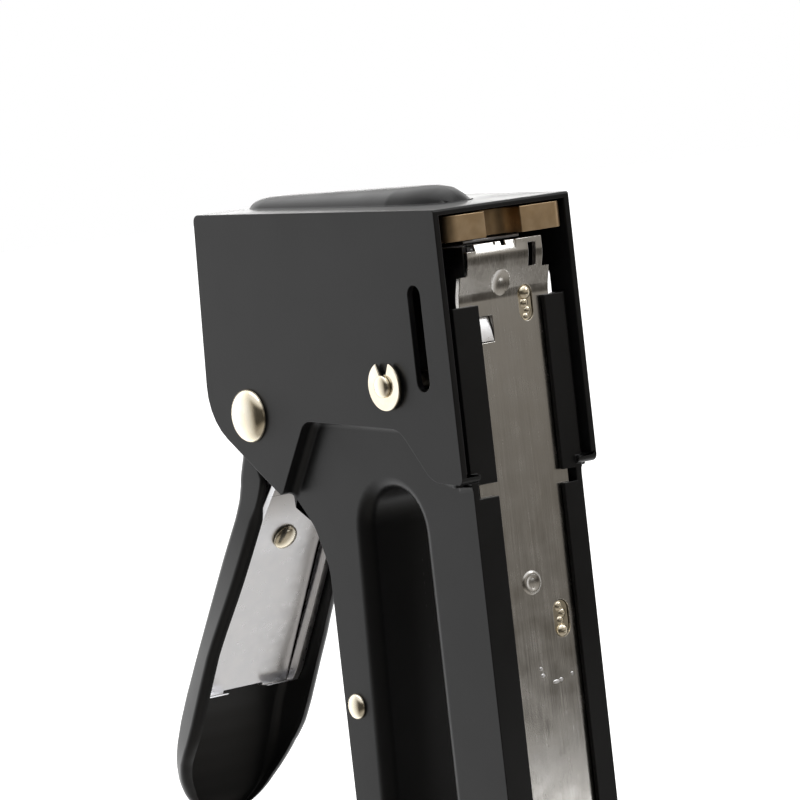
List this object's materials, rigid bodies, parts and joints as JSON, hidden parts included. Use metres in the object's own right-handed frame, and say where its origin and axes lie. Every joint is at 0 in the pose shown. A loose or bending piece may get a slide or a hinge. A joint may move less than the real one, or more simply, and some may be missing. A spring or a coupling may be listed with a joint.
{
  "type": "staple gun",
  "caption": "Pressed-steel hand stapler with a squeeze lever, spring-driven plunger and blade, hand slot and a pull-out staple drawer along its base",
  "frame": {"origin": "under the middle of the bounding box, on the plane that the flat tail stands on", "axes": "+Z along the gun from its tail to its nose, +X towards the base face where staples leave, -X towards the squeeze lever, -Y the gun's right-hand side; the gun stands on its tail"},
  "size_m": [0.1015, 0.0341, 0.1535],
  "materials": {
    "black_paint": "semi-gloss black stove enamel",
    "zinc_plate": "bright zinc plate",
    "strip_steel": "plain rolled strip, slightly worn",
    "bronze": "dull bronze-coloured plate",
    "brass": "pale yellow plated rivets and clip",
    "spring_steel": "oiled spring steel",
    "rubber": "matt"
  },
  "bodies": {
    "casing": {"right_casing": "black_paint", "left_casing": "black_paint", "nose_guide": "bronze", "magazine_base": "strip_steel", "staple_channel": "spring_steel", "staple_stick": "zinc_plate", "spring_seat": "zinc_plate", "bumper": "rubber", "pivot_pin": "brass", "pivot_spacer_right": "zinc_plate", "pivot_spacer_left": "zinc_plate", "arm_rivet": "brass", "arm_spacer": "zinc_plate", "tail_rivet": "brass", "tail_spacer": "zinc_plate", "front_pin": "brass", "front_pin_clip": "brass", "main_spring": "spring_steel", "return_spring": "spring_steel"},
    "lever": {"handle_cover": "black_paint", "lever_core": "zinc_plate", "handle_rivet": "brass"},
    "driver": {"plunger": "zinc_plate", "driver_blade": "spring_steel", "blade_pin": "spring_steel"},
    "drawer": {"staple_rail": "zinc_plate", "drawer_cap": "black_paint", "pusher_rod": "spring_steel", "pusher_spring": "spring_steel"},
    "pusher": {"staple_pusher": "zinc_plate"}
  },
  "joints": [
    {"name": "lever_hinge", "type": "hinge", "parent": "casing", "child": "lever", "pos_m": [-0.0072, 0, 0.1156], "axis": [0, -1, 0], "range_deg": [0, 32], "stiffness_Nm_per_rad": 0.12, "springref_deg": -28.65, "deforming": ["return_spring"]},
    {"name": "driver_slide", "type": "slide", "parent": "casing", "child": "driver", "axis": [-1, 0, 0], "range_m": [0, 0.0123], "deforming": ["main_spring"]},
    {"name": "drawer_slide", "type": "slide", "parent": "casing", "child": "drawer", "axis": [0, 0, -1], "range_m": [0, 0.11]},
    {"name": "pusher_slide", "type": "slide", "parent": "drawer", "child": "pusher", "axis": [0, 0, -1], "range_m": [0, 0.06], "stiffness_N_per_m": 25, "springref_m": -0.06, "deforming": ["pusher_spring"]}
  ],
  "couplings": [
    {"joint": "driver_slide", "follows": "lever_hinge", "m_per_rad": 0.022}
  ]
}
